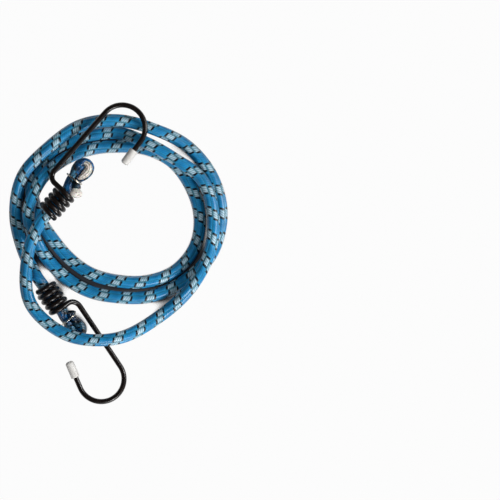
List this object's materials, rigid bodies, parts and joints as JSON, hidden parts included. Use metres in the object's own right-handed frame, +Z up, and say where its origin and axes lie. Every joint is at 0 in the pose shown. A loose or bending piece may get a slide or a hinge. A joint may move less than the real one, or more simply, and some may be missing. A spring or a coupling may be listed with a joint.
{
  "type": "bungee cord",
  "caption": "Elastic bungee cord with a braided blue sheath over a rubber core, laid in loose loops, with a coiled wire hook and vinyl tip cap on each end.",
  "frame": {"origin": "on the surface that the loops lie on, under the middle of the part", "axes": "+Z up from that surface; +Y towards hook A's bowl, and -Y towards hook B's bowl"},
  "size_m": [0.1394, 0.1928, 0.0235],
  "materials": {
    "blue_braid": "woven",
    "cream_rubber": "matte",
    "black_coated_steel": "gloss",
    "white_vinyl": "satin",
    "bright_steel": "bright"
  },
  "bodies": {
    "cord": {"braided_sheath": "blue_braid", "rubber_core": "cream_rubber", "clamp_ring_a": "bright_steel", "clamp_ring_b": "bright_steel"},
    "hook_a": {"hook_a": "black_coated_steel", "tip_cap_a": "white_vinyl"},
    "hook_b": {"hook_b": "black_coated_steel", "tip_cap_b": "white_vinyl"}
  },
  "joints": [
    {"name": "hook_a_slide", "type": "slide", "parent": "cord", "child": "hook_a", "axis": [-0.6597, -0.751, -0.0279], "range_m": [0, 0.004]},
    {"name": "hook_b_slide", "type": "slide", "parent": "cord", "child": "hook_b", "axis": [-0.5881, 0.8065, 0.061], "range_m": [0, 0.004]}
  ]
}
